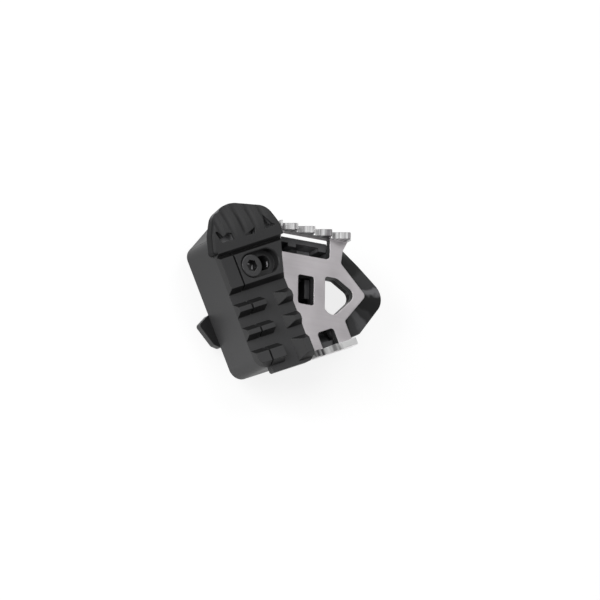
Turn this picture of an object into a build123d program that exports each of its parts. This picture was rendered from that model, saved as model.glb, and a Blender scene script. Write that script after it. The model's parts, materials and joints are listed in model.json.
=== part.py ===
from build123d import *
import os
from math import cos, radians, sin

# Brake pedal extension, in millimetres.
# Z is up, from the jaw behind the pedal to the face under the sole. The origin is on the clamp
# screw's axis, at the underside of the jaw. X runs out along the silver plate's long window.
# The tread block has axes of its own, turned about Z: x along its ribs and y up its length.

os.makedirs("parts", exist_ok=True)

# Heights in the stack, from the underside of the jaw
jaw_floor = 3.0
jaw_height = 9.0
slide_gap = 0.1
block_back = jaw_height + slide_gap
land_height = 30.5
rib_height = 4.0
tread_height = land_height + rib_height
sheet_top = 25.0
sheet_thickness = 3.0
sheet_bottom = sheet_top - sheet_thickness
pan_thickness = 3.4
pan_bottom = sheet_bottom - pan_thickness

# Gaps between the pieces that are bolted together, and around screws
seat_gap = 0.1
pocket_gap = 0.2
turning_gap = 0.3
hole_gap = 0.2
thread_gap = 0.05

# Clamp screw, its nut and the recessed slot that it slides in
screw_size = 6.0
head_diameter = 10.5
head_height = 4.0
socket_width = 5.0
socket_depth = 2.6
tip_height = 0.3
tip_chamfer = 0.6
slot_travel = 9.0
recess_depth = 4.3
recess_floor = tread_height - recess_depth
recess_radius = head_diameter / 2 + turning_gap
screw_seat = recess_floor + slide_gap
screw_length = screw_seat - tip_height
nut_width = 10.0
nut_thickness = 5.0
nut_bottom = tip_height + slide_gap
nut_top = nut_bottom + nut_thickness

# Tread block, on its own axes: the lengths across it
tread_turn = 25.0
block_left = -15.0
block_right = 16.5
plateau_right = 14.3
rib_right = 0.3
stud_left = 7.7
stud_top_left = 11.5
stud_top_right = 15.0
split_x = -7.6
split_width = 0.9

# The same block, the lengths along it
recess_land = 1.4
cross_groove_width = 2.6
cross_groove_depth = 2.6
cross_groove_y = recess_radius + recess_land + cross_groove_width / 2
head_start = cross_groove_y + cross_groove_width / 2
plateau_margin = 1.75
plateau_bottom = -recess_radius - plateau_margin
flank_run = 2.1
rib_count = 3
rib_pitch = 11.15
rib_top_width = 2.2
first_rib_drop = 10.0
first_rib_y = plateau_bottom - first_rib_drop
last_stud_extra = 4.5
strip_margin = 5.9
strip_bottom = first_rib_y - (rib_count - 1) * rib_pitch - strip_margin
lip_reach = 3.2
lip_bottom = strip_bottom - lip_reach
lip_thickness = 3.5
lip_left = split_x + split_width / 2
shoulder_y = -9.0
body_top = 18.0
head_corner_drop = 4.0
head_corner_y = body_top - head_corner_drop
top_lean = 0.322
left_corner = 6.0
right_corner = 4.0
top_corner = 5.0
foot_corner = 2.0
outer_corner = 3.0
small_corner = 1.0
edge_break = 0.5
relief_left = -11.0
relief_right = 2.5
relief_bottom = -40.0
relief_top = -12.0
relief_depth = 11.0
relief_corner = 3.0

# Head of the block, which stands out past the body on two sides and ends in a fluted nose
head_thickness = 5.0
head_left = -17.6
head_right = 22.8
hip_x = -14.5
hip_y = 19.0
nose_left_x = -9.5
nose_left_y = 27.0
nose_tip_x = 1.5
nose_tip_y = 31.0
nose_right_x = 19.5
nose_right_y = 24.0
nose_bend = 50.0
nose_sweep = 28.0
nose_flat = 15.0
nose_edge = 1.3
bar_round = 1.5
side_round = 8.0
tip_round = 12.0
flute_count = 5
first_flute_x = -9.1
flute_pitch = 6.2
flute_radius = 5.0
flute_bend = 42.0
flute_shallow = 0.2
pocket_depth = 3.5
pocket_y = 13.8
left_pocket = [
    (-12.3, 19.2), (-11.2, 19.5), (-9, 16.2), (-6.5, 17.6), (-4.2, 16.8), (-3.8, pocket_y), (-11, pocket_y),
]
middle_pocket = [(2, pocket_y), (7.8, 13.4), (8.6, 16.2)]
right_pocket = [(13.3, pocket_y), (15.2, 20.6), (18, 15.6), (19.5, 14.5)]

# Rear jaw, on the block's axes
jaw_left = -8.5
jaw_right = 19.0
jaw_bottom = -30.0
jaw_top = 13.5
jaw_corner = 4.0
jaw_wall = 2.5
boss_radius = 8.5
arm_slot_left = -1.5
arm_slot_right = 11.5
arm_slot_end = -16.0
arm_slot_corner = 2.0
ear_thickness = 3.2
ear_left = -21.5
ear_top = -13.0
ear_tip_y = -15.9
ear_low_x = -17.7
ear_low_y = -26.5
ear_bottom = -28.5
ear_corner = 1.5

# Silver plate
flange_inner_y = 22.3
flange_left = 16.5
flange_right = 54.3
tooth_reach = 6.0
tooth_low = 0.6
tooth_end = 1.7
upper_pitch = 8.8
lower_pitch = 9.6
lower_flange_left = 18.0
lower_flange_right = 42.4
lower_flange_y = -45.0
tooth_valley_round = 1.2
tooth_tip_round = 0.8
notch_x = 52.1
notch_y = 18.1
neck_x = 51.2
neck_y = 11.9
apex_x = 64.3
apex_y = -1.2
apex_round = 2.0
bend_x = 56.2
bend_y = -11.5
waist_x = 53.7
waist_y = -14.7
plate_corner_y = 12.5

# Windows in it
window_left = 20.0
window_right = 45.4
window_bottom = 12.7
window_corner = 1.2
window_end_round = 2.5
rect_left = 29.2
rect_right = 37.4
rect_bottom = -10.3
rect_top = 3.3
square_left = 26.0
square_right = 35.1
square_top = -37.3
gate_left = 43.1
gate_top = 4.6
gate_top_width = 6.1
gate_reach = 16.5
gate_tip_y = -1.6
gate_foot_y = -14.2
gate_slant = 4.2
gate_rise = 3.4

# Base pan
window_step = 0.3
pan_root_x = 12.0
pan_foot_reach = 40.5
pan_top_y = 20.7
pan_end_y = -44.5
pan_right_top_x = 52.0
pan_right_top_y = 18.4
pan_foot_x = 56.6
pan_foot_y = -21.4
rim_under = 0.2
rim_left = 44.0
rim_top_x = 55.5
rim_top_y = 20.0
rim_bend_x = 63.2
rim_bend_y = 14.3
rim_apex_x = 78.4
rim_apex_y = 1.6
rim_apex_round = 8.0
rim_small_round = 1.0
rim_bend_round = 20.0
rim_low_round = 2.0
rim_heel_round = 3.0
rim_low_x = 64.7
rim_low_y = -17.5
rim_heel_x = 60.5
rim_heel_y = -19.6
rim_foot_x = 57.6
rim_fall = 3.0
rim_edge_height = sheet_bottom - rim_fall
rim_lip_height = 2.4
rim_lip_width = 2.4
tub_depth = 6.6
tub_bottom = pan_bottom - tub_depth
tub_floor = 2.0
tub_wall = 2.4
tub_left = 17.0
tub_corner_y = 12.3
tub_right = 41.6
tub_top_right = 47.8
tub_ledge = 0.5
tub_step_y = window_bottom - window_step - tub_ledge
tub_elbow_y = -13.5
tub_hip_x = 50.1
tub_hip_y = -16.4
tub_foot_x = 38.5
pad_width = 4.2
pad_depth = 4.0
pad_left = 25.3
rib_under_left = 35.4
rib_under_width = 2.8
rib_under_bottom = -5.9
rib_under_length = 9.0
rib_under_height = 8.0
ramp_left = 30.0
ramp_width = 7.0
ramp_run = 6.0

# Tongue of plate and pan inside the block, and the screws through it
tongue_left = 6.0
tongue_top = -6.5
tongue_bottom = -43.0
plate_screw_count = 3
plate_screw_size = 4.0
plate_screw_head = 7.0
plate_screw_head_height = 4.0
plate_screw_seat = block_back + 5.4
plate_screw_spare = 0.5
plate_screw_length = sheet_top - plate_screw_spare - plate_screw_seat
plate_screw_socket = 2.5
plate_screw_x = 11.0
plate_screw_step = 12.5
plate_screw_margin = 6.0

# Blind studs in the silver plate, with washers and nuts under the pan
stud_size = 3.0
stud_head = 5.0
stud_head_thickness = 1.2
stud_spare = 2.3
stud_margin = 3.9
stud_washer = 7.0
stud_washer_thickness = 0.5
stud_nut_width = 5.5
stud_nut_thickness = 2.4
stud_length = pan_thickness + stud_washer_thickness + stud_nut_thickness + stud_spare
stud_well = 9.0
stud_well_wall = 1.6

# Places worked out from those sizes
plate_screw_places = [
    (plate_screw_x, tongue_top - plate_screw_margin - step * plate_screw_step)
    for step in range(plate_screw_count)
]
open_stud = (window_right + stud_margin, window_bottom - 1.1 * stud_margin)
upper_stud = (rect_left - 1.2 * stud_margin, window_bottom - 1.6 * stud_margin)
lower_stud = ((rect_left + rect_right) / 2, rect_bottom - 1.55 * stud_margin)
stud_places = [open_stud, upper_stud, lower_stud]
turn = radians(tread_turn)
across = Vector(cos(turn), sin(turn), 0)
along = Vector(-sin(turn), cos(turn), 0)


def level(height):
    """A plane at this height on the plate's axes."""
    return Plane.XY.offset(height)


def tread_level(height):
    """A plane at this height on the tread block's axes."""
    return Plane(origin=(0, 0, height), x_dir=across, z_dir=(0, 0, 1))


def rib_section(x):
    """A plane across the block at x, drawn with y to the right and height upwards."""
    return Plane(origin=across * x, x_dir=along, z_dir=across)


def from_tread(x, y):
    """A point of the tread block's axes, given on the plate's axes."""
    return (x * across.X + y * along.X, x * across.Y + y * along.Y)


def wall_x(y):
    """Where the block's outer wall stands at y: upright to the shoulder, then leaning outwards."""
    return block_right + max(0, y - shoulder_y) * top_lean


def body_outline(gap):
    """The block's outline below its tread, with this gap around it, and a radius for each corner."""
    points = [
        (block_left - gap, body_top + gap),
        (block_left - gap, strip_bottom - gap),
        (block_right + gap, strip_bottom - gap),
        (block_right + gap, shoulder_y),
        (wall_x(body_top) + gap, body_top + gap),
    ]
    radii = [top_corner, left_corner, foot_corner, 0, outer_corner]
    return points, radii


# The block that the sole presses: a bar whose raised face is cut to its outline, then the head
head_points = [
    (head_left, head_start),
    (hip_x, hip_y),
    (nose_left_x, nose_left_y),
    (nose_tip_x, nose_tip_y),
    (nose_right_x, nose_right_y),
    (head_right, head_corner_y),
    (wall_x(head_start), head_start),
]
head_radii = [bar_round, side_round, side_round, tip_round, side_round, outer_corner, 0]
with BuildPart() as tread_block:
    body_points, body_radii = body_outline(0)
    with BuildSketch(tread_level(block_back)):
        with BuildLine():
            FilletPolyline(*body_points, radius=body_radii, close=True)
        make_face()
    extrude(amount=land_height - block_back)

    # Lip that stands out under the end of the face
    lip_points = [
        (lip_left, strip_bottom + foot_corner),
        (lip_left, lip_bottom),
        (block_right, lip_bottom),
        (block_right, strip_bottom + foot_corner),
    ]
    with BuildSketch(tread_level(land_height - lip_thickness)):
        with BuildLine():
            FilletPolyline(*lip_points, radius=[0, small_corner, right_corner, 0], close=True)
        make_face()
    extrude(amount=lip_thickness)

    # Plateau, with a flank on its lower and outer sides
    with BuildSketch(tread_level(land_height)):
        with BuildLine():
            Polyline(
                (block_left, plateau_bottom - flank_run),
                (block_right, plateau_bottom - flank_run),
                (wall_x(head_start), head_start),
                (block_left, head_start),
                close=True,
            )
        make_face()
    with BuildSketch(tread_level(tread_height)):
        with BuildLine():
            Polyline(
                (block_left, plateau_bottom),
                (plateau_right, plateau_bottom),
                (wall_x(head_start) - flank_run, head_start),
                (block_left, head_start),
                close=True,
            )
        make_face()
    loft()

    # Long ribs on the inner half, the last one reaching to the end of the block
    for row in range(rib_count):
        rib_y = first_rib_y - row * rib_pitch
        half = rib_top_width / 2
        foot_y = strip_bottom if row == rib_count - 1 else rib_y - half - flank_run
        with BuildSketch(rib_section(block_left)):
            with BuildLine():
                Polyline(
                    (rib_y + half + flank_run, land_height),
                    (rib_y + half, tread_height),
                    (foot_y + flank_run, tread_height),
                    (foot_y, land_height),
                    close=True,
                )
            make_face()
        extrude(amount=rib_right - block_left)

    # Short ribs on the outer half, sloped on all four sides
    for row in range(rib_count):
        rib_y = first_rib_y - row * rib_pitch
        half = rib_top_width / 2
        longer = last_stud_extra if row == rib_count - 1 else 0
        with BuildSketch(tread_level(land_height)):
            with BuildLine():
                Polyline(
                    (stud_left, rib_y + half + flank_run),
                    (block_right, rib_y + half + flank_run),
                    (block_right, rib_y - half - flank_run - longer),
                    (stud_left, rib_y - half - flank_run - longer),
                    close=True,
                )
            make_face()
        with BuildSketch(tread_level(tread_height)):
            with BuildLine():
                Polyline(
                    (stud_top_left, rib_y + half),
                    (stud_top_right, rib_y + half),
                    (stud_top_right, rib_y - half - longer),
                    (stud_top_left, rib_y - half - longer),
                    close=True,
                )
            make_face()
        loft()

    # Everything raised stops at the outline of body and lip
    with BuildSketch(tread_level(block_back)):
        with BuildLine():
            FilletPolyline(*body_points, radius=body_radii, close=True)
        make_face()
        with BuildLine():
            FilletPolyline(*lip_points, radius=[0, small_corner, right_corner, 0], close=True)
        make_face()
    extrude(amount=tread_height - block_back, mode=Mode.INTERSECT)

    # Head: a thick plate that stands out past the body, its top falling away over the nose
    with BuildSketch(tread_level(tread_height - head_thickness)):
        with BuildLine():
            FilletPolyline(*head_points, radius=head_radii, close=True)
        make_face()
    extrude(amount=head_thickness)
    with BuildSketch(rib_section(head_left)):
        with BuildLine():
            fall = CenterArc((nose_flat, tread_height - nose_bend), nose_bend, 90, -nose_sweep)
            Polyline(fall @ 1, ((fall @ 1).X, tread_height), fall @ 0)
        make_face()
    extrude(amount=head_right - head_left, mode=Mode.SUBTRACT)
    nose_edges = tread_block.edges().filter_by(
        lambda edge: edge.center().dot(along) > head_start + edge_break
        and min(corner.Z for corner in edge.vertices()) > land_height + edge_break
        and not (edge.geom_type == GeomType.LINE and abs(edge.tangent_at(0.5).dot(across)) > 0.99)
    )
    fillet(nose_edges, radius=nose_edge)

    # Flutes along the nose, bent more than its top and so deeper towards its tip
    flute_height = tread_height + flute_radius - flute_shallow
    flute_centre = along * nose_flat + Vector(0, 0, flute_height - flute_bend)
    for step in range(flute_count):
        flute_x = first_flute_x + step * flute_pitch
        flute_start = across * flute_x + along * nose_flat + Vector(0, 0, flute_height)
        with BuildSketch(Plane(origin=flute_start, x_dir=across, z_dir=along)):
            Circle(flute_radius)
        revolve(axis=Axis(flute_centre, -across), revolution_arc=nose_sweep, mode=Mode.SUBTRACT)

    # Pockets in the head, above its straight bar
    with BuildSketch(tread_level(tread_height)):
        for pocket in (left_pocket, middle_pocket, right_pocket):
            with BuildLine():
                Polyline(*pocket, close=True)
            make_face()
    extrude(amount=-pocket_depth, mode=Mode.SUBTRACT)

    # Groove across the face, and the thin one down through plateau and ribs
    with BuildSketch(rib_section(block_left)):
        with BuildLine():
            Polyline(
                (cross_groove_y - cross_groove_width / 2, tread_height),
                (head_start, tread_height),
                (cross_groove_y, tread_height - cross_groove_depth),
                close=True,
            )
        make_face()
    extrude(amount=head_right - block_left, mode=Mode.SUBTRACT)
    with BuildSketch(tread_level(land_height)):
        with Locations((split_x, strip_bottom)):
            Rectangle(split_width, cross_groove_y - strip_bottom, align=(Align.CENTER, Align.MIN))
    extrude(amount=rib_height, mode=Mode.SUBTRACT)

    # Recess for the screw's head and the long slot for its shank
    with BuildSketch(tread_level(tread_height)):
        with Locations((slot_travel / 2, 0)):
            SlotCenterToCenter(slot_travel, 2 * recess_radius)
    extrude(amount=-recess_depth, mode=Mode.SUBTRACT)
    with BuildSketch(tread_level(recess_floor)):
        with Locations((slot_travel / 2, 0)):
            SlotCenterToCenter(slot_travel, screw_size + 2 * turning_gap)
    extrude(amount=block_back - recess_floor, mode=Mode.SUBTRACT)
    recess_edges = tread_block.edges().group_by(Axis.Z)[-1].filter_by(
        lambda edge: abs(edge.center().dot(along)) < recess_radius + hole_gap
        and abs(edge.center().dot(across) - slot_travel / 2) < slot_travel / 2 + recess_radius + hole_gap
    )
    chamfer(recess_edges, length=edge_break)

    # Pocket in the outer side for the tongue of pan and plate
    with BuildSketch(tread_level(pan_bottom)):
        with Locations((tongue_left - pocket_gap, tongue_top + pocket_gap)):
            Rectangle(
                block_right - tongue_left + 2 * pocket_gap,
                tongue_top - tongue_bottom + 2 * pocket_gap,
                align=(Align.MIN, Align.MAX),
            )
    extrude(amount=sheet_top - pan_bottom + pocket_gap, mode=Mode.SUBTRACT)

    # Holes from behind for the screws through the tongue
    block_underside = Plane(origin=(0, 0, block_back), x_dir=across, z_dir=(0, 0, -1))
    with Locations(block_underside.location):
        with Locations(*[(x, -y) for x, y in plate_screw_places]):
            CounterBoreHole(
                radius=plate_screw_size / 2 + hole_gap,
                counter_bore_radius=plate_screw_head / 2 + turning_gap,
                counter_bore_depth=plate_screw_seat - block_back,
                depth=pan_bottom + pocket_gap - block_back,
            )

    # Weight relief milled from behind
    with BuildSketch(tread_level(block_back)):
        with Locations(((relief_left + relief_right) / 2, (relief_bottom + relief_top) / 2)):
            RectangleRounded(relief_right - relief_left, relief_top - relief_bottom, relief_corner)
    extrude(amount=relief_depth, mode=Mode.SUBTRACT)
tread_block.part.label = "tread_block"
export_step(tread_block.part, "parts/tread_block.step")


def tooth_line(start, end, pitch, first_tip):
    """Edge of a saw-toothed flange from start to end, with a corner radius for each point."""
    top = sheet_top + tooth_reach
    low = sheet_top + tooth_low
    points = [(start, sheet_bottom)]
    radii = [0]
    tip = first_tip
    slope = (top - low) / pitch
    points.append((start, top - (tip - start) * slope))
    radii.append(0)
    while tip < end - pitch / 2:
        points += [(tip, top), (tip, low)]
        radii += [tooth_tip_round if tip - start > pitch / 4 else 0, tooth_valley_round]
        tip += pitch
    points += [(end - tooth_end, top), (end, top - tooth_end * 1.5), (end, sheet_bottom)]
    radii += [tooth_tip_round, 0, 0]
    return points, radii


# Outline of the large window, which goes through plate and pan
gate_points = [
    (gate_left, gate_top),
    (gate_left + gate_top_width, gate_top),
    (gate_left + gate_reach, gate_tip_y),
    (gate_left + gate_slant, gate_foot_y),
    (gate_left, gate_foot_y + gate_rise),
]
gate_radii = [1.5, 4, 3.5, 3.8, 1.2]

# Silver plate: one sheet with two saw-toothed edges turned up and four windows
lower_right = from_tread(lower_flange_right, lower_flange_y + sheet_thickness)
with BuildPart() as tread_plate:
    with BuildSketch(level(sheet_bottom)):
        with BuildLine():
            FilletPolyline(
                (flange_left, flange_inner_y + sheet_thickness),
                (flange_right, flange_inner_y + sheet_thickness),
                (flange_right, flange_inner_y),
                (notch_x, notch_y),
                (neck_x, neck_y),
                (apex_x, apex_y),
                (bend_x, bend_y),
                (waist_x, waist_y),
                lower_right,
                from_tread(lower_flange_right, lower_flange_y - sheet_thickness),
                from_tread(lower_flange_left, lower_flange_y - sheet_thickness),
                from_tread(lower_flange_left, lower_flange_y),
                from_tread(block_right + seat_gap, lower_flange_y),
                from_tread(block_right + seat_gap, shoulder_y),
                from_tread(wall_x(plate_corner_y) + seat_gap, plate_corner_y),
                (flange_left, flange_inner_y),
                radius=[0, 0, 0.8, 1.5, 2, apex_round, 3, 1, 1, 0, 0, 1, 0, 0, 1, 0],
                close=True,
            )
        make_face()
    extrude(amount=sheet_thickness)

    # Tongue that goes into the block
    with BuildSketch(tread_level(sheet_bottom)):
        with Locations((tongue_left, tongue_top)):
            Rectangle(
                block_right + 2 * seat_gap - tongue_left,
                tongue_top - tongue_bottom,
                align=(Align.MIN, Align.MAX),
            )
    extrude(amount=sheet_thickness)

    # Toothed flanges
    upper_points, upper_radii = tooth_line(
        flange_left, flange_right, upper_pitch, flange_right - tooth_end - 4 * upper_pitch
    )
    with BuildSketch(Plane.XZ.offset(-flange_inner_y)):
        with BuildLine():
            FilletPolyline(*upper_points, radius=upper_radii, close=True)
        make_face()
    extrude(amount=-sheet_thickness)
    lower_points, lower_radii = tooth_line(
        lower_flange_left, lower_flange_right, lower_pitch,
        lower_flange_right - tooth_end - 2 * lower_pitch,
    )
    flange_plane = Plane(origin=along * lower_flange_y, x_dir=across, z_dir=-along)
    with BuildSketch(flange_plane):
        with BuildLine():
            FilletPolyline(*lower_points, radius=lower_radii, close=True)
        make_face()
    extrude(amount=sheet_thickness)

    # Windows
    with BuildSketch(level(sheet_bottom)):
        with BuildLine():
            FilletPolyline(
                (window_left, window_bottom),
                (window_right, window_bottom),
                (window_right, flange_inner_y),
                (window_left, flange_inner_y),
                radius=[window_corner, 2, 0.5, window_end_round],
                close=True,
            )
        make_face()
        with BuildLine():
            FilletPolyline(
                (rect_left, rect_bottom),
                (rect_right, rect_bottom),
                (rect_right, rect_top),
                (rect_left, rect_top),
                radius=window_corner,
                close=True,
            )
        make_face()
        with BuildLine():
            FilletPolyline(*gate_points, radius=gate_radii, close=True)
        make_face()
    extrude(amount=sheet_thickness, mode=Mode.SUBTRACT)
    with BuildSketch(tread_level(sheet_bottom)):
        with BuildLine():
            FilletPolyline(
                (square_left, lower_flange_y),
                (square_right, lower_flange_y),
                (square_right, square_top),
                (square_left, square_top),
                radius=[0.5, 0.5, 1.5, 1.5],
                close=True,
            )
        make_face()
    extrude(amount=sheet_thickness, mode=Mode.SUBTRACT)

    # Threaded holes in the tongue, blind holes for the studs
    with BuildSketch(tread_level(sheet_bottom)):
        with Locations(*plate_screw_places):
            Circle(plate_screw_size / 2 + thread_gap)
    extrude(amount=sheet_thickness, mode=Mode.SUBTRACT)
    with BuildSketch(level(sheet_bottom)):
        with Locations(*stud_places):
            Circle(stud_head / 2 + thread_gap)
    extrude(amount=stud_head_thickness, mode=Mode.SUBTRACT)
tread_plate.part.label = "tread_plate"
export_step(tread_plate.part, "parts/tread_plate.step")


# Black pan: plate, sloping rim and the tub behind it
rim_outer = [
    (rim_left, pan_top_y),
    (rim_top_x, rim_top_y),
    (rim_bend_x, rim_bend_y),
    (rim_apex_x, rim_apex_y),
    (rim_low_x, rim_low_y),
    (rim_heel_x, rim_heel_y),
    (rim_foot_x, pan_foot_y),
    (rim_left, pan_foot_y),
]
rim_outer_radii = [0, rim_small_round, rim_bend_round, rim_apex_round, rim_low_round, rim_heel_round, 0, 0]
rim_inner = [
    (rim_left, pan_top_y),
    (pan_right_top_x, pan_right_top_y),
    (neck_x - rim_under, neck_y),
    (apex_x - 2 * rim_under, apex_y),
    (bend_x - rim_under, bend_y),
    (waist_x - rim_under, waist_y),
    (pan_foot_x, pan_foot_y),
    (rim_left, pan_foot_y),
]
rim_inner_radii = [0, rim_small_round, apex_round, apex_round, apex_round, rim_small_round, 0, 0]
pan_outline = [
    (pan_root_x, pan_top_y),
    *rim_inner[:-1],
    from_tread(pan_foot_reach, pan_end_y),
    from_tread(0, pan_end_y),
]
tub_outline = [
    from_tread(wall_x(tub_corner_y) + seat_gap, tub_corner_y),
    (tub_left, pan_top_y),
    (tub_top_right, pan_top_y),
    (tub_top_right, tub_step_y),
    (tub_right, tub_step_y),
    (tub_right, tub_elbow_y),
    (tub_hip_x, tub_hip_y),
    from_tread(tub_foot_x, pan_end_y),
    from_tread(block_right + seat_gap, pan_end_y),
    from_tread(block_right + seat_gap, shoulder_y),
]
with BuildPart() as base_pan:
    with BuildSketch(level(pan_bottom)):
        with BuildLine():
            Polyline(*pan_outline, close=True)
        make_face()
    extrude(amount=pan_thickness)

    # Sloping rim with a turned-down lip
    with BuildSketch(level(rim_edge_height)):
        with BuildLine():
            FilletPolyline(*rim_outer, radius=rim_outer_radii, close=True)
        make_face()
    with BuildSketch(level(sheet_bottom)):
        with BuildLine():
            FilletPolyline(*rim_inner, radius=rim_inner_radii, close=True)
        make_face()
    loft(ruled=True)
    with BuildSketch(level(rim_lip_height)):
        with BuildLine():
            FilletPolyline(*rim_outer, radius=rim_outer_radii, close=True)
        make_face()
        offset(amount=-rim_lip_width, mode=Mode.SUBTRACT)
        with Locations((rim_left, 0)):
            Rectangle(
                tub_top_right + rim_lip_width - rim_left,
                4 * pan_top_y,
                align=(Align.MIN, Align.CENTER),
                mode=Mode.SUBTRACT,
            )
    extrude(amount=rim_edge_height - rim_lip_height)

    # Tub: walls, floor and an open inside
    with BuildSketch(level(tub_bottom)):
        with BuildLine():
            Polyline(*tub_outline, close=True)
        make_face()
    extrude(amount=pan_bottom - tub_bottom)
    with BuildSketch(level(tub_bottom + tub_floor)):
        with BuildLine():
            Polyline(*tub_outline, close=True)
        make_face()
        offset(amount=-tub_wall, kind=Kind.INTERSECTION, mode=Mode.REPLACE)
    extrude(amount=pan_bottom - tub_bottom - tub_floor, mode=Mode.SUBTRACT)

    # Room for the block, which stands against the pan
    clear_points, clear_radii = body_outline(seat_gap)
    with BuildSketch(tread_level(block_back)):
        with BuildLine():
            FilletPolyline(*clear_points, radius=clear_radii, close=True)
        make_face()
    extrude(amount=land_height - block_back, mode=Mode.SUBTRACT)

    # Windows, a step wider than the plate's
    with BuildSketch(level(rim_lip_height)):
        with BuildLine():
            FilletPolyline(*gate_points, radius=gate_radii, close=True)
        make_face()
        offset(amount=window_step)
    extrude(amount=sheet_bottom - rim_lip_height, mode=Mode.SUBTRACT)
    with BuildSketch(level(pan_bottom)):
        with Locations((window_left, window_bottom - window_step)):
            Rectangle(
                window_right - window_left,
                pan_top_y - tub_wall - window_bottom + window_step,
                align=Align.MIN,
            )
        with Locations((rect_left - window_step, rect_bottom - window_step)):
            Rectangle(
                rect_right - rect_left + 2 * window_step,
                rect_top - rect_bottom + 2 * window_step,
                align=Align.MIN,
            )
    extrude(amount=pan_thickness, mode=Mode.SUBTRACT)
    with BuildSketch(tread_level(pan_bottom)):
        with Locations((square_left - window_step, pan_end_y + tub_wall)):
            Rectangle(
                square_right - square_left + 2 * window_step,
                square_top + window_step - pan_end_y - tub_wall,
                align=Align.MIN,
            )
    extrude(amount=pan_thickness, mode=Mode.SUBTRACT)

    # Pads in the long window, a rib under the small one and a ramp under the square one
    with BuildSketch(level(tub_bottom)):
        with Locations((pad_left, pan_top_y), (window_right - pad_width - rim_under, pan_top_y)):
            Rectangle(pad_width, pad_depth, align=(Align.MIN, Align.MAX))
    extrude(amount=sheet_bottom - tub_bottom)
    with BuildSketch(level(tub_bottom)):
        with Locations((rib_under_left, rib_under_bottom)):
            Rectangle(rib_under_width, rib_under_length, align=Align.MIN)
    extrude(amount=rib_under_height)
    ramp_foot = pan_end_y + tub_wall / 2
    with BuildSketch(rib_section(ramp_left)):
        with BuildLine():
            Polyline(
                (ramp_foot, tub_bottom),
                (ramp_foot, pan_bottom + tub_floor),
                (ramp_foot + ramp_run, tub_bottom + tub_floor),
                (ramp_foot + ramp_run, tub_bottom),
                close=True,
            )
        make_face()
    extrude(amount=ramp_width)

    # Wells for the stud nuts that lie under the tub
    with BuildSketch(level(tub_bottom)):
        with Locations(upper_stud, lower_stud):
            Circle(stud_well / 2 + stud_well_wall)
    extrude(amount=pan_bottom - tub_bottom)
    with BuildSketch(level(tub_bottom)):
        with Locations(upper_stud, lower_stud):
            Circle(stud_well / 2)
    extrude(amount=pan_bottom - tub_bottom, mode=Mode.SUBTRACT)
    with BuildSketch(level(pan_bottom)):
        with Locations(*stud_places):
            Circle(stud_size / 2 + hole_gap)
    extrude(amount=pan_thickness, mode=Mode.SUBTRACT)

    # Tongue that goes into the block, with its screw holes
    with BuildSketch(tread_level(pan_bottom)):
        with Locations((tongue_left, tongue_top)):
            Rectangle(
                block_right + 2 * seat_gap - tongue_left,
                tongue_top - tongue_bottom,
                align=(Align.MIN, Align.MAX),
            )
    extrude(amount=pan_thickness)
    with BuildSketch(tread_level(pan_bottom)):
        with Locations(*plate_screw_places):
            Circle(plate_screw_size / 2 + hole_gap)
    extrude(amount=pan_thickness, mode=Mode.SUBTRACT)
base_pan.part.label = "base_pan"
export_step(base_pan.part, "parts/base_pan.step")

# Rear jaw: a shallow tray that takes the pedal's pad, with a thin ear on its inner side
jaw_outline = [
    (jaw_left, jaw_bottom + jaw_corner),
    (jaw_left + jaw_corner, jaw_bottom),
    (jaw_right - jaw_corner, jaw_bottom),
    (jaw_right, jaw_bottom + jaw_corner),
    (jaw_right, jaw_top - jaw_corner),
    (jaw_right - jaw_corner, jaw_top),
    (jaw_left + jaw_corner, jaw_top),
    (jaw_left, jaw_top - jaw_corner),
]
with BuildPart() as rear_jaw:
    with BuildSketch(tread_level(0)):
        with BuildLine():
            Polyline(*jaw_outline, close=True)
        make_face()
    extrude(amount=jaw_height)
    with BuildSketch(tread_level(jaw_floor)):
        with BuildLine():
            Polyline(*jaw_outline, close=True)
        make_face()
        offset(amount=-jaw_wall, kind=Kind.INTERSECTION, mode=Mode.REPLACE)
    extrude(amount=jaw_height - jaw_floor, mode=Mode.SUBTRACT)

    # Ear that stands out from under the block
    with BuildSketch(tread_level(jaw_height - ear_thickness)):
        with BuildLine():
            FilletPolyline(
                (jaw_left + jaw_wall / 2, ear_top),
                (block_left, ear_top),
                (ear_left, ear_tip_y),
                (ear_low_x, ear_low_y),
                (block_left, ear_bottom),
                (jaw_left + jaw_wall / 2, ear_bottom),
                radius=[0, ear_corner, ear_corner, ear_corner, ear_corner, 0],
                close=True,
            )
        make_face()
    extrude(amount=ear_thickness)

    # Boss around the screw, with the nut's pocket in it from below
    with BuildSketch(level(0)):
        Circle(boss_radius)
    extrude(amount=jaw_height)
    with BuildSketch(level(0)):
        RegularPolygon(nut_width / 2 + hole_gap, 6, major_radius=False)
    extrude(amount=nut_top, mode=Mode.SUBTRACT)
    with BuildSketch(level(0)):
        Circle(screw_size / 2 + turning_gap)
    extrude(amount=jaw_height, mode=Mode.SUBTRACT)

    # Notch that the pedal's arm comes in through
    with BuildSketch(tread_level(0)):
        with Locations((arm_slot_left, arm_slot_end)):
            Rectangle(
                arm_slot_right - arm_slot_left,
                arm_slot_end - jaw_bottom + jaw_wall,
                align=(Align.MIN, Align.MAX),
            )
    extrude(amount=jaw_height, mode=Mode.SUBTRACT)
    corners = rear_jaw.edges().filter_by(Axis.Z).filter_by(
        lambda edge: abs(edge.center().dot(along) - arm_slot_end) < 0.01
    )
    fillet(corners, radius=arm_slot_corner)
rear_jaw.part.label = "rear_jaw"
export_step(rear_jaw.part, "parts/rear_jaw.step")

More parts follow.
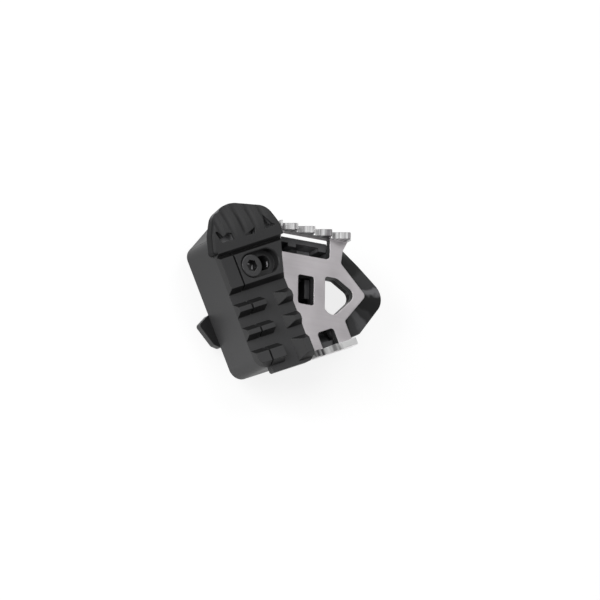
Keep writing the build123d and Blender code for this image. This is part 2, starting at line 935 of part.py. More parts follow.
# Clamp screw, low head up, and the nut that it turns in
with BuildPart() as clamp_screw:
    with BuildSketch(level(screw_seat)):
        Circle(head_diameter / 2)
    extrude(amount=head_height)
    rim = clamp_screw.edges().group_by(Axis.Z)[-1]
    fillet(rim, radius=edge_break)
    with BuildSketch(level(screw_seat + head_height)):
        RegularPolygon(socket_width / 2, 6, major_radius=False)
    extrude(amount=-socket_depth, mode=Mode.SUBTRACT)
    with BuildSketch(level(screw_seat)):
        Circle(screw_size / 2)
    extrude(amount=-screw_length)
    tip = clamp_screw.edges().group_by(Axis.Z)[0]
    chamfer(tip, length=tip_chamfer)
clamp_screw.part.label = "clamp_screw"
export_step(clamp_screw.part, "parts/clamp_screw.step")

with BuildPart() as clamp_nut:
    with BuildSketch(level(nut_bottom)):
        RegularPolygon(nut_width / 2, 6, major_radius=False)
        Circle(screw_size / 2 + thread_gap, mode=Mode.SUBTRACT)
    extrude(amount=nut_thickness)
clamp_nut.part.label = "clamp_nut"
export_step(clamp_nut.part, "parts/clamp_nut.step")

# Screws through the tongue, from behind the block
for number, place in enumerate(plate_screw_places, 1):
    with BuildPart() as plate_screw:
        with BuildSketch(tread_level(plate_screw_seat)):
            with Locations(place):
                Circle(plate_screw_head / 2)
        extrude(amount=-plate_screw_head_height)
        with BuildSketch(tread_level(plate_screw_seat - plate_screw_head_height)):
            with Locations(place):
                RegularPolygon(plate_screw_socket / 2, 6, major_radius=False)
        extrude(amount=plate_screw_head_height / 2, mode=Mode.SUBTRACT)
        with BuildSketch(tread_level(plate_screw_seat)):
            with Locations(place):
                Circle(plate_screw_size / 2)
        extrude(amount=plate_screw_length)
        chamfer(plate_screw.edges().group_by(Axis.Z)[-1], length=tip_chamfer)
    plate_screw.part.label = f"plate_screw_{number}"
    export_step(plate_screw.part, f"parts/plate_screw_{number}.step")

# Studs pressed into the back of the plate, with a washer and a nut on each
for number, stud_place in enumerate(stud_places, 1):
    with BuildPart() as plate_stud:
        with BuildSketch(level(sheet_bottom)):
            with Locations(stud_place):
                Circle(stud_head / 2)
        extrude(amount=stud_head_thickness)
        with BuildSketch(level(sheet_bottom)):
            with Locations(stud_place):
                Circle(stud_size / 2)
        extrude(amount=-stud_length)
        chamfer(plate_stud.edges().group_by(Axis.Z)[0], length=tip_chamfer / 2)
    plate_stud.part.label = f"plate_stud_{number}"
    export_step(plate_stud.part, f"parts/plate_stud_{number}.step")

    with BuildPart() as washer:
        with BuildSketch(level(pan_bottom - stud_washer_thickness)):
            with Locations(stud_place):
                Circle(stud_washer / 2)
                Circle(stud_size / 2 + hole_gap, mode=Mode.SUBTRACT)
        extrude(amount=stud_washer_thickness)
    washer.part.label = f"stud_washer_{number}"
    export_step(washer.part, f"parts/stud_washer_{number}.step")

    with BuildPart() as nut:
        with BuildSketch(level(pan_bottom - stud_washer_thickness - stud_nut_thickness)):
            with Locations(stud_place):
                RegularPolygon(stud_nut_width / 2, 6, major_radius=False)
                Circle(stud_size / 2 + thread_gap, mode=Mode.SUBTRACT)
        extrude(amount=stud_nut_thickness)
    nut.part.label = f"stud_nut_{number}"
    export_step(nut.part, f"parts/stud_nut_{number}.step")
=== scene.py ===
import json
from math import cos, radians, sin

import bpy
from mathutils import Matrix, Vector


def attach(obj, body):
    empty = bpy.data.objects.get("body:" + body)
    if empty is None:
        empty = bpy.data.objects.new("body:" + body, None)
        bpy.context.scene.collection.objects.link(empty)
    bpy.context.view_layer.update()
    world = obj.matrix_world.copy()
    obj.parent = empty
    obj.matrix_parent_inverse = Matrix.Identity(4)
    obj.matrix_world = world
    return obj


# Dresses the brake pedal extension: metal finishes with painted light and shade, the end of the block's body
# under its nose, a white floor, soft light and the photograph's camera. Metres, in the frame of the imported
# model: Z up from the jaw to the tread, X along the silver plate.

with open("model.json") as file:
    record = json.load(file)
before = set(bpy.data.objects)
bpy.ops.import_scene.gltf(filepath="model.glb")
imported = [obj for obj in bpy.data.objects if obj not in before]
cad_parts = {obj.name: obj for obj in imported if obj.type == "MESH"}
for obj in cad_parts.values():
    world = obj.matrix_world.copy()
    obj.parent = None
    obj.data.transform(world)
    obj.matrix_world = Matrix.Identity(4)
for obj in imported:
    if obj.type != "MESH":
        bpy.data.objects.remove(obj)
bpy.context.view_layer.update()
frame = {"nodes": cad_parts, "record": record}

MILLIMETRE = 0.001
UP = (0, 0, 1)

# The tread block's own axes, turned against the silver plate's
TREAD_TURN = radians(25)
ACROSS = (cos(TREAD_TURN), sin(TREAD_TURN), 0)
ALONG = (-sin(TREAD_TURN), cos(TREAD_TURN), 0)

# The photograph's view: parallel lines of sight, turned so that the block stands upright
FRAME_WIDTH = 0.270
VIEW_CENTRE = Vector((0.0310, -0.0083, 0.0237))
VIEW_RIGHT = Vector((0.867, 0.012, 0.498)).normalized()
VIEW_BACK = Vector((-0.472, -0.300, 0.829)).normalized()
VIEW_DISTANCE = 0.9
CLIP_NEAR = 0.01
CLIP_FAR = 10

# The lamps: name, direction from the view's centre, distance, side of the square and power in watts
LAMPS = (
    ("key", (-0.95, 0.05, 0.55), 0.8, 0.45, 4.2),
    ("fill", (0.6, -0.8, 0.7), 0.9, 0.7, 0.5),
    ("top", (0.1, 0.6, 1.0), 0.9, 0.5, 1.9),
)
SKY_STRENGTH = 0.30

# The floor, with the strength of its glow and the glow's share in what camera and reflections see
FLOOR_SIZE = 8.0
FLOOR_COLOUR = (0.92, 0.92, 0.92)
FLOOR_GLOW = 1.15
GLOW_SHARE = 0.72

# The end of the block's body under the nose, in millimetres: its outline on the block's own axes, and
# its heights from just above the block's back to the underside of the head
END_OUTLINE = (
    (-12.19, 17.5), (3.0, 24.9), (5.0, 25.6), (7.5, 25.3), (19.0, 19.3), (21.5, 17.5), (0.0, 17.0),
)
END_HEIGHTS = (9.12, 29.5)

# What the metals share: clouds of tone and roughness, the fine grain's bump, and worn edges, which
# show as the cosine of the rounded normal with the plain one falls from the first to the second
CLOUDS = {"scale": 55, "detail": 4}
GRAIN_DETAIL = 3
WEAR_PATCHES = {"scale": 240, "detail": 3}
WEAR_PATCH_RANGE = (0.35, 0.65)
LEAST_WEAR = 0.35
NOISE_RANGE = (0.3, 0.7)
CLOUD_SHADE = 0.86
CLOUD_ROUGHNESS = (-0.05, 0.06)
GRAIN_HEIGHT = 0.05 * MILLIMETRE
BEVEL_SAMPLES = 6
EDGE_COSINES = (0.98, 0.82)
DULL_SPECULAR = 0.05

EVEN_GRAIN = {"scale": 1600, "stretch": (1, 1, 1), "contrast": 0.05}
BRUSHED = {"scale": 900, "stretch": (0.05, 1, 1), "contrast": 0.22}
TURNED = {"scale": 1500, "stretch": (1, 1, 0.1), "contrast": 0.08}

# The names below give the fields on each piece: painted light, shade, highlights and reflections, and the
# sheet's lines.
# Where a name ends in an axis or a radius, its numbers are millimetres: one limit or two, and last the width
# over which the field fades there. Where it ends in COSINES, the field fades in or out between those two
# cosines of the surface's
# normal with some direction: 1 faces it and -1 faces away.

# The silver sheet: lines over its two upturned edges, a painted highlight at the lower one's end, and
# painted shade on the cut walls
SHEET_MIDDLE_Y = (0.0, 10.0)
EDGES_Z = (25.5, 0.6)
UPPER_LINES = {"scale": 1000, "detail": 2, "stretch": (1, 0.02, 0.02)}
LOWER_LINES = {"scale": 330, "detail": 2, "stretch": (1, 0.02, 0.02), "turn": TREAD_TURN}
LINE_RANGE = (0.38, 0.62)
DARK_LOWER_LINE = (0.12, 0.115, 0.12)
DARK_UPPER_LINE = (0.30, 0.29, 0.30)
PALE_LINE = (0.90, 0.90, 0.90)
END_HIGHLIGHT_ACROSS = (34.5, 41.6, 1.0)
PAINTED_END_HIGHLIGHT = (0.93, 0.93, 0.93)
WALL_COSINES = (0.3, 0.7)
WALL_ALONG = (-44.8, 0.1)
WALL_Y = (22.15, 0.1)
PAINTED_WALL_SHADE = (0.045, 0.045, 0.046)

# The pan's rim: painted reflections, highlights and shade by the angle in degrees round a point in the large
# window, which is given in millimetres, times a gain. A waver in the angle makes the borders uneven.
RIM_CENTRE = (48.0, -2.0)
RIM_ANGLES = (-70, 80)
RIM_REFLECTION_FIELDS = (
    (-56, 0.10), (-51, 0.30), (-42, 0.30), (-37, 0.55), (-28, 0.55), (-24, 0.16), (-16, 0.20), (-12, 0.08),
    (7, 0.08), (10, 0.95), (14, 0.95), (17, 0.24), (36, 0.24), (42, 0.08),
)
RIM_REFLECTION_GAIN = 8.0
RIM_WAVER = {"scale": 130, "detail": 2}
RIM_WAVER_ANGLES = (-4, 4)
RIM_X = (49.0, 1.0)
RIM_Z = (18.45, 0.9)

# Painted light in the pan's tub, on the flat tops round it, on its floor and on a patch at either end, and
# painted shade on the large window's wall
TUB_Y = (18.7, 0.2)
TUB_Z = (13.5, 21.5, 0.2)
TUB_ALONG = (-42.5, 0.2)
FLAT_COSINES = (0.5, 0.8)
TOPS_Z = (21.5, 0.2)
TUB_FLOOR_Z = (15.0, 1.0)
UPPER_PATCH_X = (34.5, 41.5, 0.6)
UPPER_PATCH_Y = (11.75, 0.5)
LOWER_PATCH_ACROSS = (29.5, 36.5, 0.5)
LOWER_PATCH_ALONG = (-37.25, 0.5)
WINDOW_RADIUS = (14.0, 1.0)
WINDOW_COSINES = (0.3, 0.6)
PAN_PAINTED_LIGHT_FACTORS = {
    "tub": 3.2, "flat_tops": 4.0, "tub_floor": 3.0, "upper_patch": 2.5, "lower_patch": 2.5,
    "window_wall": 0.35,
}

# The tread block: painted light that goes from 1 at the first place along it, in millimetres, to the foot's
# tone at the second, and fields of painted shade, painted light, a painted highlight and a painted glint on
# its ribs, head, nose and slot
PAINTED_LIGHT_LENGTH = (10.0, -40.0)
FOOT_PAINTED_LIGHT = 1.65
RAISED_Z = (30.5, 0.2)
RIBS_ALONG = (8.25, 0.5)
FLANK_COSINES = (0.6, 0.8)
SLOPE_COSINES = (-0.6, -0.4)
POCKET_ACROSS = (-12.4, 19.8, 0.2)
POCKET_ALONG = (13.3, 21.5, 0.2)
POCKET_Z = (30.5, 33.2, 0.6)
NOSE_EDGE_COSINES = (0.5, 0.8)
NOSE_EDGE_ALONG = (23.0, 2.0)
SLOT_GLINT_ACROSS = (11.4, 12.8, 0.2)
SLOT_GLINT_ALONG = (-2.1, 0.1, 0.4)
SLOT_GLINT_Z = (27.2, 28.4, 0.5)
HEAD_SIDE_COSINES = (0.6, 0.95)
HEAD_SIDE_Z = (29.3, 0.2)
HEAD_SIDE_ACROSS = (-9.0, 2.0)
HEAD_SIDE_ALONG = (9.0, 1.0)
FLUTE_ACROSS = (1.3, 3.1, 1.4)
FLUTE_ALONG = (15.5, 24.0, 4.0)
# The factors of painted light and shade; the slot's field, "worn", is a painted glint on its far wall.
BLOCK_PAINTED_LIGHT_FACTORS = {
    "flanks": 0.30, "inner_slopes": 0.60, "pockets": 4.5, "nose_edge": 3.0, "worn": 24.0,
    "head_side": 0.55, "flute": 0.5,
}

# The clamp screw: painted shade in its socket, with the same limits in x as in y, and two painted glints in
# it, each by its limits in x and in y
SOCKET_Z = (30.5, 34.0, 0.1)
SOCKET_XY = (-2.7, 2.7, 0.1)
SOCKET_SHADE_FACTOR = 0.3
SOCKET_GLINTS = (
    ((1.1, 1.7, 0.2), (-0.9, 1.1, 0.2)),
    ((-1.0, 0.1, 0.2), (1.1, 1.7, 0.2)),
)
SOCKET_GLINT_FACTOR = 25.0


class Graph:
    """A node tree that is filled with short calls."""

    def __init__(self, tree):
        self.tree = tree
        self.tree.nodes.clear()

    def add(self, kind, **properties):
        """A new node, with its properties set by name."""
        node = self.tree.nodes.new(kind)
        for key, value in properties.items():
            setattr(node, key, value)
        return node

    def join(self, source, target):
        """Links an output socket to an input socket."""
        self.tree.links.new(source, target)

    def feed(self, target, value):
        """Gives an input socket a number, or links an output socket to it."""
        if isinstance(value, (int, float)):
            target.default_value = value
        else:
            self.join(value, target)

    def ramp(self, value, low, high, bottom, top):
        """Maps value from low..high to bottom..top, clamped."""
        node = self.add("ShaderNodeMapRange")
        node.inputs["From Min"].default_value = low
        node.inputs["From Max"].default_value = high
        node.inputs["To Min"].default_value = bottom
        node.inputs["To Max"].default_value = top
        self.join(value, node.inputs["Value"])
        return node.outputs["Result"]

    def math(self, operation, *values):
        """One operation on values that are sockets or numbers."""
        node = self.add("ShaderNodeMath", operation=operation)
        for target, value in zip(node.inputs, values):
            self.feed(target, value)
        return node.outputs["Value"]

    def product(self, *values):
        """All the values multiplied."""
        result = values[0]
        for value in values[1:]:
            result = self.math("MULTIPLY", result, value)
        return result

    def blend(self, factor, first, second):
        """A value between first and second."""
        node = self.add("ShaderNodeMix", data_type="FLOAT")
        self.join(factor, node.inputs["Factor"])
        self.feed(node.inputs[2], first)
        self.feed(node.inputs[3], second)
        return node.outputs[0]

    def mix_colour(self, factor, first, second):
        """A colour between first and second, each a socket or a plain colour."""
        node = self.add("ShaderNodeMix", data_type="RGBA")
        self.join(factor, node.inputs["Factor"])
        for target, colour in ((node.inputs[6], first), (node.inputs[7], second)):
            if isinstance(colour, tuple):
                target.default_value = (*colour, 1)
            else:
                self.join(colour, target)
        return node.outputs[2]

    def scale(self, colour, factor):
        """The colour times a factor, each a socket."""
        node = self.add("ShaderNodeVectorMath", operation="SCALE")
        self.join(colour, node.inputs[0])
        self.join(factor, node.inputs["Scale"])
        return node.outputs["Vector"]

    def rescale(self, colour, mask, factor):
        """The colour times a plain factor where the mask is 1, and unchanged where it is 0."""
        return self.scale(colour, self.ramp(mask, 0, 1, 1, factor))

    def rescale_fields(self, colour, fields, factors):
        """The colour, rescaled in each field by the factor of the same name."""
        for name, mask in fields.items():
            colour = self.rescale(colour, mask, factors[name])
        return colour

    def coordinates(self):
        """The object's own coordinates, in metres."""
        return self.add("ShaderNodeTexCoord").outputs["Object"]

    def dot(self, vector, direction):
        """How far a vector reaches along a fixed direction."""
        node = self.add("ShaderNodeVectorMath", operation="DOT_PRODUCT")
        self.join(vector, node.inputs[0])
        node.inputs[1].default_value = direction
        return node.outputs["Value"]

    def place(self):
        """The object's own coordinates as three numbers."""
        split = self.add("ShaderNodeSeparateXYZ")
        self.join(self.coordinates(), split.inputs[0])
        return split.outputs["X"], split.outputs["Y"], split.outputs["Z"]

    def tread_place(self):
        """The place across and along the tread block, in metres."""
        coordinates = self.coordinates()
        return self.dot(coordinates, ACROSS), self.dot(coordinates, ALONG)

    def cosine(self, direction):
        """How squarely the surface faces this direction of the object: 1 facing it, -1 facing away."""
        return self.dot(self.add("ShaderNodeTexCoord").outputs["Normal"], direction)

    def above(self, value, limit, fade):
        """1 where value, in metres, is above the limit in millimetres, and 0 below it."""
        low = (limit - fade / 2) * MILLIMETRE
        high = (limit + fade / 2) * MILLIMETRE
        return self.ramp(value, low, high, 0, 1)

    def below(self, value, limit, fade):
        """1 where value, in metres, is below the limit in millimetres, and 0 above it."""
        low = (limit - fade / 2) * MILLIMETRE
        high = (limit + fade / 2) * MILLIMETRE
        return self.ramp(value, low, high, 1, 0)

    def between(self, value, low, high, fade):
        """1 where value, in metres, lies from low to high millimetres, and 0 elsewhere."""
        return self.product(self.above(value, low, fade), self.below(value, high, fade))

    def noise(self, scale, detail, stretch=(1, 1, 1), turn=0):
        """Noise over the object's own coordinates, turned about Z and drawn out along an axis."""
        mapping = self.add("ShaderNodeMapping", vector_type="TEXTURE")
        mapping.inputs["Scale"].default_value = tuple(1 / amount for amount in stretch)
        mapping.inputs["Rotation"].default_value = (0, 0, turn)
        self.join(self.coordinates(), mapping.inputs["Vector"])
        node = self.add("ShaderNodeTexNoise")
        node.inputs["Scale"].default_value = scale
        node.inputs["Detail"].default_value = detail
        self.join(mapping.outputs["Vector"], node.inputs["Vector"])
        return node.outputs["Fac"]

    def tone_along(self, value, rows):
        """A grey tone that goes with value through rows of a place from 0 to 1 and a tone."""
        node = self.add("ShaderNodeValToRGB")
        self.join(value, node.inputs["Fac"])
        stops = node.color_ramp.elements
        while len(stops) > 1:
            stops.remove(stops[-1])
        for place, tone in rows:
            stops.new(place).color = (tone, tone, tone, 1)
        stops.remove(stops[0])
        return node.outputs["Color"]

    def edges(self, radius):
        """Near 1 on edges and 0 on flat stretches, and the rounded normal."""
        bevel = self.add("ShaderNodeBevel", samples=BEVEL_SAMPLES)
        bevel.inputs["Radius"].default_value = radius
        surface = self.add("ShaderNodeNewGeometry")
        dot = self.add("ShaderNodeVectorMath", operation="DOT_PRODUCT")
        self.join(bevel.outputs["Normal"], dot.inputs[0])
        self.join(surface.outputs["True Normal"], dot.inputs[1])
        return self.ramp(dot.outputs["Value"], *EDGE_COSINES, 0, 1), bevel.outputs["Normal"]


def sheet_lines_and_painted_light(graph, body):
    """Fine lines across the sheet's two upturned edges, a painted highlight at the lower one's end, and
    painted shade on dull walls where it is cut.
    """
    _, y, z = graph.place()
    across, along = graph.tread_place()
    upper = graph.above(y, *SHEET_MIDDLE_Y)
    lower = graph.below(y, *SHEET_MIDDLE_Y)
    lines = graph.blend(upper, graph.noise(**LOWER_LINES), graph.noise(**UPPER_LINES))
    dark_line = graph.mix_colour(upper, DARK_LOWER_LINE, DARK_UPPER_LINE)
    streaked = graph.mix_colour(graph.ramp(lines, *LINE_RANGE, 0, 1), dark_line, PALE_LINE)
    # Painted highlight: the lower edge's end is made pale.
    end_highlight = graph.product(graph.between(across, *END_HIGHLIGHT_ACROSS), lower)
    streaked = graph.mix_colour(end_highlight, streaked, PAINTED_END_HIGHLIGHT)
    body = graph.mix_colour(graph.above(z, *EDGES_Z), body, streaked)

    # Painted shade: the cut walls get a dark colour, and they are made dull as well.
    upright = graph.ramp(graph.cosine(UP), *WALL_COSINES, 1, 0)
    shaded_cut_walls = graph.product(upright, graph.above(along, *WALL_ALONG), graph.below(y, *WALL_Y))
    return graph.mix_colour(shaded_cut_walls, body, PAINTED_WALL_SHADE), shaded_cut_walls


def rim_painted_reflections(graph, from_x, from_y):
    """The pan's rim's painted reflections, highlights and shade, from fields at angles round the point that
    these places start from.
    """
    first, last = RIM_ANGLES
    wavers = [radians(degrees) for degrees in RIM_WAVER_ANGLES]
    waver = graph.ramp(graph.noise(**RIM_WAVER), *NOISE_RANGE, *wavers)
    angle = graph.math("ADD", graph.math("ARCTAN2", from_y, from_x), waver)
    turned = graph.ramp(angle, radians(first), radians(last), 0, 1)
    rows = [((degrees - first) / (last - first), tone) for degrees, tone in RIM_REFLECTION_FIELDS]
    return graph.math("MULTIPLY", graph.tone_along(turned, rows), RIM_REFLECTION_GAIN)


def pan_painted_light(graph, body):
    """Painted reflections and shade round the rim, painted light in the tub and on the tops, and painted
    shade on the large window's wall.
    """
    x, y, z = graph.place()
    across, along = graph.tread_place()
    from_x = graph.math("SUBTRACT", x, RIM_CENTRE[0] * MILLIMETRE)
    from_y = graph.math("SUBTRACT", y, RIM_CENTRE[1] * MILLIMETRE)
    on_rim = graph.product(graph.above(x, *RIM_X), graph.above(z, *RIM_Z))
    # Painted reflections, highlights and shade on the rim's top.
    body = graph.scale(body, graph.blend(on_rim, 1.0, rim_painted_reflections(graph, from_x, from_y)))

    facing_up = graph.cosine(UP)
    flat = graph.ramp(facing_up, *FLAT_COSINES, 0, 1)
    off_rim = graph.below(x, *RIM_X)
    tub = graph.product(
        off_rim, graph.between(z, *TUB_Z), graph.below(y, *TUB_Y), graph.above(along, *TUB_ALONG)
    )
    squares = graph.math("ADD", graph.math("POWER", from_x, 2), graph.math("POWER", from_y, 2))
    from_centre = graph.math("POWER", squares, 0.5)
    # Painted light where the tub, its floor and tops lie in shade.
    fields = {
        "tub": tub,
        "flat_tops": graph.product(flat, off_rim, graph.above(z, *TOPS_Z)),
        "tub_floor": graph.product(flat, tub, graph.below(z, *TUB_FLOOR_Z)),
        "upper_patch": graph.product(
            tub, graph.between(x, *UPPER_PATCH_X), graph.above(y, *UPPER_PATCH_Y)
        ),
        "lower_patch": graph.product(
            tub, graph.between(across, *LOWER_PATCH_ACROSS), graph.below(along, *LOWER_PATCH_ALONG)
        ),
        # Painted shade on the large window's wall, which is made dull as well.
        "window_wall": graph.product(
            graph.below(from_centre, *WINDOW_RADIUS), graph.ramp(facing_up, *WINDOW_COSINES, 1, 0)
        ),
    }
    return graph.rescale_fields(body, fields, PAN_PAINTED_LIGHT_FACTORS), fields["window_wall"]


def block_painted_light(graph, body):
    """Painted shade on the flanks, slopes, head side and flute, painted light in the pockets and towards the
    foot, a painted highlight on the nose edge and a painted glint in the slot.
    """
    z = graph.place()[2]
    across, along = graph.tread_place()
    facing_nose = graph.cosine(ALONG)
    raised = graph.above(z, *RAISED_Z)
    ribs = graph.product(raised, graph.below(along, *RIBS_ALONG))
    fields = {
        # Painted shade on the ribs' flanks and inner slopes, by the way they face.
        "flanks": graph.product(
            graph.ramp(graph.math("ABSOLUTE", facing_nose), *FLANK_COSINES, 0, 1), ribs
        ),
        "inner_slopes": graph.product(graph.ramp(graph.cosine(ACROSS), *SLOPE_COSINES, 1, 0), ribs),
        # Painted light in the pockets, which lie in shade.
        "pockets": graph.product(
            graph.between(across, *POCKET_ACROSS), graph.between(along, *POCKET_ALONG),
            graph.between(z, *POCKET_Z),
        ),
        # Painted highlight along the nose's far edge.
        "nose_edge": graph.product(
            graph.ramp(facing_nose, *NOSE_EDGE_COSINES, 0, 1), graph.above(along, *NOSE_EDGE_ALONG), raised
        ),
        # A painted glint on the slot's far wall.
        "worn": graph.product(
            graph.between(across, *SLOT_GLINT_ACROSS), graph.between(along, *SLOT_GLINT_ALONG), graph.between(z, *SLOT_GLINT_Z)
        ),
        # Painted shade on the head's side, which is made dull as well.
        "head_side": graph.product(
            graph.ramp(graph.cosine(UP), *HEAD_SIDE_COSINES, 1, 0), graph.above(z, *HEAD_SIDE_Z),
            graph.below(across, *HEAD_SIDE_ACROSS), graph.above(along, *HEAD_SIDE_ALONG),
        ),
        # Painted shade in one flute.
        "flute": graph.product(graph.between(across, *FLUTE_ACROSS), graph.between(along, *FLUTE_ALONG)),
    }
    # Painted light: lighter towards the foot.
    head, foot = (place * MILLIMETRE for place in PAINTED_LIGHT_LENGTH)
    body = graph.scale(body, graph.ramp(along, head, foot, 1, FOOT_PAINTED_LIGHT))
    return graph.rescale_fields(body, fields, BLOCK_PAINTED_LIGHT_FACTORS), fields["head_side"]


def screw_painted_light(graph, body):
    """Painted shade in the clamp screw's socket, with two painted glints in it."""
    x, y, z = graph.place()
    socket = graph.product(
        graph.between(z, *SOCKET_Z), graph.between(x, *SOCKET_XY), graph.between(y, *SOCKET_XY)
    )
    # Painted shade in the socket, then painted glints in it.
    body = graph.rescale(body, socket, SOCKET_SHADE_FACTOR)
    for in_x, in_y in SOCKET_GLINTS:
        glint = graph.product(socket, graph.between(x, *in_x), graph.between(y, *in_y))
        body = graph.rescale(body, glint, SOCKET_GLINT_FACTOR)
    return body, None


def metal(
    name, colour, worn, roughness, grain, metallic, wear_radius, wear, grain_depth, specular=0.5, extra=None
):
    """A metal finish with grain, roughness that varies, a fine bump and wear along the edges.

    extra, where there is one, takes the graph and the colour. It gives back the colour with the piece's
    painted light and shade, and on the sheet its lines too, and a mask of where the metal is dull or None.
    """
    material = bpy.data.materials.new(name)
    material.use_nodes = True
    graph = Graph(material.node_tree)
    shader = graph.add("ShaderNodeBsdfPrincipled")
    output = graph.add("ShaderNodeOutputMaterial")
    graph.join(shader.outputs["BSDF"], output.inputs["Surface"])
    shader.inputs["Metallic"].default_value = metallic
    shader.inputs["Specular IOR Level"].default_value = specular

    clouds = graph.noise(**CLOUDS)
    fine = graph.noise(grain["scale"], GRAIN_DETAIL, grain["stretch"])
    edge, rounded = graph.edges(wear_radius)
    patches = graph.ramp(graph.noise(**WEAR_PATCHES), *WEAR_PATCH_RANGE, wear * LEAST_WEAR, wear)
    worn_edge = graph.math("MULTIPLY", edge, patches)

    darker = tuple(channel * CLOUD_SHADE for channel in colour)
    body = graph.mix_colour(graph.ramp(clouds, *NOISE_RANGE, 0, 1), darker, colour)
    body = graph.mix_colour(graph.ramp(fine, *NOISE_RANGE, 0, grain["contrast"]), body, worn)
    dull = None
    if extra:
        body, dull = extra(graph, body)
    if dull:
        graph.join(graph.ramp(dull, 0, 1, metallic, 0), shader.inputs["Metallic"])
        graph.join(graph.ramp(dull, 0, 1, specular, DULL_SPECULAR), shader.inputs["Specular IOR Level"])
    graph.join(graph.mix_colour(worn_edge, body, worn), shader.inputs["Base Color"])
    smoothest, roughest = (roughness + change for change in CLOUD_ROUGHNESS)
    graph.join(graph.ramp(clouds, *NOISE_RANGE, smoothest, roughest), shader.inputs["Roughness"])

    bump = graph.add("ShaderNodeBump")
    bump.inputs["Strength"].default_value = grain_depth
    bump.inputs["Distance"].default_value = GRAIN_HEIGHT
    graph.join(fine, bump.inputs["Height"])
    graph.join(rounded, bump.inputs["Normal"])
    graph.join(bump.outputs["Normal"], shader.inputs["Normal"])
    return material


FINISHES = {
    "block_black": metal(
        "block_black", colour=(0.033, 0.033, 0.034), worn=(0.055, 0.055, 0.056), roughness=0.44,
        grain=EVEN_GRAIN, metallic=0.0, wear_radius=0.5 * MILLIMETRE, wear=0.5, grain_depth=0.25,
        specular=0.25, extra=block_painted_light,
    ),
    "pan_black": metal(
        "pan_black", colour=(0.024, 0.024, 0.025), worn=(0.070, 0.070, 0.072), roughness=0.32,
        grain=EVEN_GRAIN, metallic=0.0, wear_radius=0.4 * MILLIMETRE, wear=0.5, grain_depth=0.25,
        specular=0.3, extra=pan_painted_light,
    ),
    # The jaw's black is darker than the block's: painted shade that the block casts on the jaw's ear.
    "jaw_black": metal(
        "jaw_black", colour=(0.018, 0.018, 0.019), worn=(0.06, 0.06, 0.06), roughness=0.42,
        grain=EVEN_GRAIN, metallic=0.0, wear_radius=0.4 * MILLIMETRE, wear=0.7, grain_depth=0.25,
    ),
    "plate_silver": metal(
        "plate_silver", colour=(0.765, 0.725, 0.75), worn=(0.85, 0.83, 0.84), roughness=0.34,
        grain=BRUSHED, metallic=0.9, wear_radius=0.4 * MILLIMETRE, wear=0.5, grain_depth=0.35,
        extra=sheet_lines_and_painted_light,
    ),
    "screw_black": metal(
        "screw_black", colour=(0.050, 0.050, 0.052), worn=(0.14, 0.14, 0.14), roughness=0.34,
        grain=TURNED, metallic=0.4, wear_radius=0.3 * MILLIMETRE, wear=0.6, grain_depth=0.2,
        extra=screw_painted_light,
    ),
    "zinc": metal(
        "zinc", colour=(0.55, 0.56, 0.58), worn=(0.75, 0.76, 0.78), roughness=0.30,
        grain=TURNED, metallic=0.9, wear_radius=0.2 * MILLIMETRE, wear=0.4, grain_depth=0.2,
    ),
}

SLOTS = {row["node"]: row["material_slot"] for row in frame["record"]["subparts"]}
for node_name, node_object in frame["nodes"].items():
    node_object.data.materials.clear()
    node_object.data.materials.append(FINISHES[SLOTS[node_name]])


def add_object(name, data):
    """A new object with this data, in the scene."""
    new_object = bpy.data.objects.new(name, data)
    bpy.context.scene.collection.objects.link(new_object)
    return new_object


def make_block_end():
    """The end of the block's body under the nose, which runs out to a blunt point."""
    corners = [(Vector(ACROSS) * x + Vector(ALONG) * y) * MILLIMETRE for x, y in END_OUTLINE]
    points = [
        corner + Vector((0, 0, height * MILLIMETRE)) for height in END_HEIGHTS for corner in corners
    ]
    count = len(corners)
    underside = tuple(range(count))
    top = tuple(range(2 * count - 1, count - 1, -1))
    walls = [(count + n, count + (n + 1) % count, (n + 1) % count, n) for n in range(count)]
    mesh = bpy.data.meshes.new("block_end")
    mesh.from_pydata(points, [], [underside, *walls, top])
    mesh.materials.append(FINISHES["block_black"])
    block_end = add_object("block_end", mesh)
    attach(block_end, "extension")


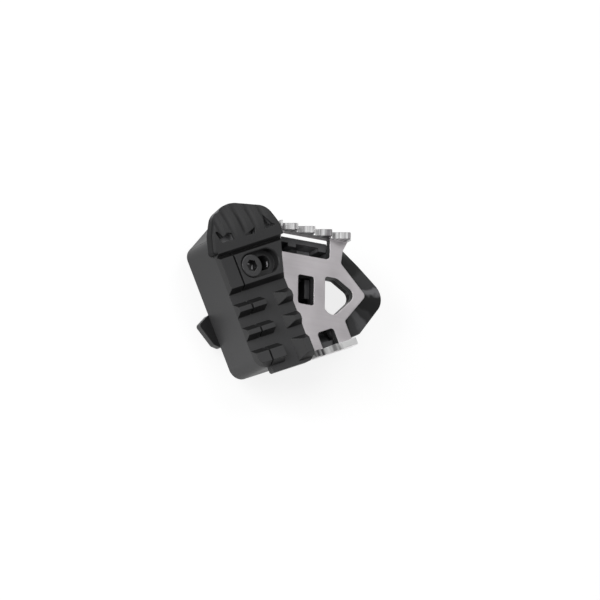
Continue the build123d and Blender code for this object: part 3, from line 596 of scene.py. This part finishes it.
def make_floor():
    """A pale floor that takes the object's soft shadow, with a glow for the camera and reflections."""
    half = FLOOR_SIZE / 2
    mesh = bpy.data.meshes.new("floor")
    mesh.from_pydata(
        [(-half, -half, 0), (half, -half, 0), (half, half, 0), (-half, half, 0)], [], [(0, 1, 2, 3)]
    )
    floor = add_object("floor", mesh)
    material = bpy.data.materials.new("floor")
    material.use_nodes = True
    graph = Graph(material.node_tree)
    matt = graph.add("ShaderNodeBsdfDiffuse")
    matt.inputs["Color"].default_value = (*FLOOR_COLOUR, 1)
    glow = graph.add("ShaderNodeEmission")
    glow.inputs["Color"].default_value = (1, 1, 1, 1)
    glow.inputs["Strength"].default_value = FLOOR_GLOW
    path = graph.add("ShaderNodeLightPath")
    seen = graph.math("MAXIMUM", path.outputs["Is Camera Ray"], path.outputs["Is Glossy Ray"])
    mix = graph.add("ShaderNodeMixShader")
    output = graph.add("ShaderNodeOutputMaterial")
    graph.join(graph.ramp(seen, 0, 1, 0, GLOW_SHARE), mix.inputs[0])
    graph.join(matt.outputs["BSDF"], mix.inputs[1])
    graph.join(glow.outputs["Emission"], mix.inputs[2])
    graph.join(mix.outputs["Shader"], output.inputs["Surface"])
    mesh.materials.append(material)


def make_world():
    """An even grey sky that shows white to the camera."""
    world = bpy.data.worlds.new("studio")
    bpy.context.scene.world = world
    world.use_nodes = True
    graph = Graph(world.node_tree)
    path = graph.add("ShaderNodeLightPath")
    background = graph.add("ShaderNodeBackground")
    background.inputs["Color"].default_value = (1, 1, 1, 1)
    strength = graph.ramp(path.outputs["Is Camera Ray"], 0, 1, SKY_STRENGTH, 1)
    graph.join(strength, background.inputs["Strength"])
    output = graph.add("ShaderNodeOutputWorld")
    graph.join(background.outputs["Background"], output.inputs["Surface"])


def make_lamp(name, direction, distance, size, power):
    """A square soft lamp that looks at the view's centre from that direction."""
    data = bpy.data.lights.new(name, "AREA")
    data.shape = "SQUARE"
    data.size = size
    data.energy = power
    lamp = add_object(name, data)
    toward = Vector(direction).normalized()
    lamp.location = VIEW_CENTRE + toward * distance
    lamp.rotation_euler = toward.to_track_quat("Z", "Y").to_euler()


def make_camera():
    """The photograph's camera."""
    data = bpy.data.cameras.new("camera")
    data.type = "ORTHO"
    data.ortho_scale = FRAME_WIDTH
    data.clip_start = CLIP_NEAR
    data.clip_end = CLIP_FAR
    camera = add_object("camera", data)
    up = VIEW_BACK.cross(VIEW_RIGHT).normalized()
    right = up.cross(VIEW_BACK)
    axes = Matrix((right, up, VIEW_BACK)).transposed().to_4x4()
    camera.matrix_world = Matrix.Translation(VIEW_CENTRE + VIEW_BACK * VIEW_DISTANCE) @ axes
    bpy.context.scene.camera = camera


make_block_end()
make_floor()
make_world()
for lamp_row in LAMPS:
    make_lamp(*lamp_row)
make_camera()
bpy.context.scene.view_settings.view_transform = "Standard"
